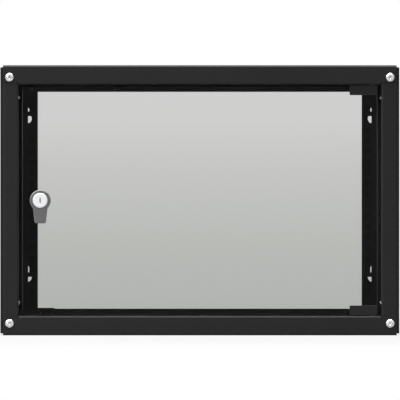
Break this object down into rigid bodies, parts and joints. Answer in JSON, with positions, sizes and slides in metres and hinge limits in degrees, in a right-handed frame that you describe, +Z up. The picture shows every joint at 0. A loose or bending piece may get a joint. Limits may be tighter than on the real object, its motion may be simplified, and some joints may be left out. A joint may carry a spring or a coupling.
{
  "type": "wall mount network cabinet",
  "caption": "Wall mount 19-inch network cabinet with an open back, a hinged tinted glass door with a wing-knob lock, slotted covers and depth-adjustable rack rails.",
  "frame": {"origin": "middle of the four wall keyholes, in the plane of the rear face", "axes": "+X to the right, +Y towards the wall, +Z up; the door is on the -Y side"},
  "size_m": [0.55, 0.4074, 0.372],
  "materials": {
    "black_powder_coat": "fine textured powder coat, satin",
    "black_bracket_paint": "smooth powder coat, satin",
    "hinge_paint": "smooth powder coat on zinc",
    "bright_zinc": "bright nickel plate",
    "zinc_fixings": "zinc plate",
    "black_steel": "black oxide",
    "tinted_glass": "toughened, grey tint, ground edges",
    "grey_die_cast": "grey lacquered zinc die casting",
    "bright_chrome": "polished chrome plate",
    "satin_nickel": "satin nickel plate",
    "black_rubber": "matt",
    "black_plastic": "fine moulded grain",
    "black_nylon": "smooth moulded",
    "plated_strike": "zinc plate"
  },
  "bodies": {
    "cabinet": {"top_cover": "black_powder_coat", "bottom_cover": "black_powder_coat", "top_entry_cover": "black_powder_coat", "bottom_entry_cover": "black_powder_coat", "front_post_left": "black_powder_coat", "front_post_right": "black_powder_coat", "rear_post_left": "black_powder_coat", "rear_post_right": "black_powder_coat", "side_panel_left": "black_powder_coat", "side_panel_right": "black_powder_coat", "depth_bracket_upper_left": "black_bracket_paint", "depth_bracket_lower_left": "black_bracket_paint", "depth_bracket_upper_right": "black_bracket_paint", "depth_bracket_lower_right": "black_bracket_paint", "mounting_rail_left": "black_bracket_paint", "mounting_rail_right": "black_bracket_paint", "corner_screws": "bright_zinc", "corner_nuts": "zinc_fixings", "rear_screws": "zinc_fixings", "rear_nuts": "zinc_fixings", "bracket_rear_screws": "zinc_fixings", "bracket_rear_nuts": "zinc_fixings", "bracket_front_screws": "bright_zinc", "bracket_front_nuts": "zinc_fixings", "rail_screws": "bright_zinc", "rail_nuts": "zinc_fixings", "side_panel_nuts": "zinc_fixings", "entry_cover_screws": "bright_zinc", "earth_stud": "zinc_fixings", "earth_nut": "zinc_fixings", "hinge_bushes": "black_nylon", "door_catch": "black_plastic", "catch_screws": "zinc_fixings", "door_buffers": "black_rubber"},
    "door": {"glass_pane": "tinted_glass", "hinge_clip_upper": "hinge_paint", "hinge_clip_lower": "hinge_paint", "hinge_pads": "black_rubber", "hinge_pins": "zinc_fixings", "clamp_screws": "black_steel", "lock_gasket": "black_rubber", "lock_washer": "black_plastic", "lock_housing": "satin_nickel", "lock_nut": "satin_nickel", "catch_plate": "plated_strike"},
    "lock": {"lock_knob": "grey_die_cast", "lock_cam": "satin_nickel", "cam_screw": "zinc_fixings"},
    "plug": {"key_plug": "bright_chrome"}
  },
  "joints": [
    {"name": "door_swing", "type": "hinge", "parent": "cabinet", "child": "door", "pos_m": [0.238, -0.3925, 0], "axis": [0, 0, 1], "range_deg": [0, 120]},
    {"name": "knob_turn", "type": "hinge", "parent": "door", "child": "lock", "pos_m": [-0.22, -0.402, 0], "axis": [0, 1, 0], "range_deg": [0, 90]},
    {"name": "key_turn", "type": "hinge", "parent": "lock", "child": "plug", "pos_m": [-0.22, -0.406, 0], "axis": [0, 1, 0], "range_deg": [0, 90]}
  ]
}
